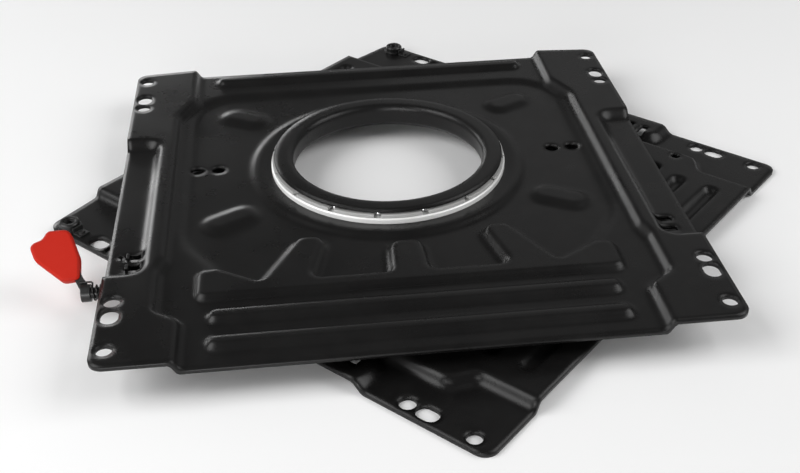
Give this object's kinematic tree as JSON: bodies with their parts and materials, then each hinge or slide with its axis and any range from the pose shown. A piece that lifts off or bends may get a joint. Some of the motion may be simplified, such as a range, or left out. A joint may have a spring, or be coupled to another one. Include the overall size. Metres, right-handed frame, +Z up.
{
  "type": "swivel seat base",
  "caption": "Flat swivel plate for a seat: two pressed steel plates with raised side wings turn on a central ball bearing, with a red release lever at one edge.",
  "frame": {"origin": "centre of the base plate's four corner bolt holes, on the face that lies on the pedestal", "axes": "+X across the base plate, +Y towards its back edge with the two corner nuts, +Z up along the swivel axis"},
  "size_m": [0.5932, 0.5934, 0.0483],
  "materials": {
    "base_paint": "satin black powder coat",
    "seat_paint": "satin black powder coat",
    "race_plating": "zinc plated",
    "ball_steel": "polished",
    "cage_steel": "bright, lightly greased",
    "nut_steel": "blackened",
    "tab_steel": "satin black",
    "latch_steel": "blackened",
    "pawl_steel": "hardened, blackened",
    "shaft_steel": "blackened",
    "spring_steel": "black spring wire",
    "arm_steel": "satin black",
    "grip_red": "moulded red"
  },
  "bodies": {
    "base": {"base_plate": "base_paint", "corner_nuts": "nut_steel", "nut_tabs": "tab_steel"},
    "seat": {"seat_plate": "seat_paint", "upper_race_ring": "race_plating", "latch_bracket": "latch_steel", "return_spring": "spring_steel"},
    "lower_cage": {"lower_balls": "ball_steel", "lower_ball_cage": "cage_steel"},
    "upper_cage": {"upper_balls": "ball_steel", "upper_ball_cage": "cage_steel"},
    "lever": {"lever_shaft": "shaft_steel", "shaft_washer": "shaft_steel", "shaft_clip": "spring_steel", "latch_pawl": "pawl_steel", "pawl_pin": "shaft_steel", "lever_arm": "arm_steel", "lever_grip": "grip_red"}
  },
  "joints": [
    {"name": "swivel", "type": "hinge", "parent": "base", "child": "seat", "pos_m": [0, 0.037, 0.022], "axis": [0, 0, 1], "continuous": true},
    {"name": "lower_cage_turn", "type": "hinge", "parent": "base", "child": "lower_cage", "pos_m": [0, 0.037, 0.018], "axis": [0, 0, 1], "continuous": true},
    {"name": "upper_cage_turn", "type": "hinge", "parent": "base", "child": "upper_cage", "pos_m": [0, 0.037, 0.0291], "axis": [0, 0, 1], "continuous": true},
    {"name": "release_lever", "type": "hinge", "parent": "seat", "child": "lever", "pos_m": [-0.24503, 0.07662, 0.0176], "axis": [0.7009, -0.7133, 0], "range_deg": [0, 6.5], "stiffness_Nm_per_rad": 1.5, "springref_deg": -20.05, "deforming": ["return_spring"]}
  ],
  "couplings": [
    {"joint": "lower_cage_turn", "follows": "swivel", "ratio": 0.5},
    {"joint": "upper_cage_turn", "follows": "swivel", "ratio": 0.5}
  ]
}
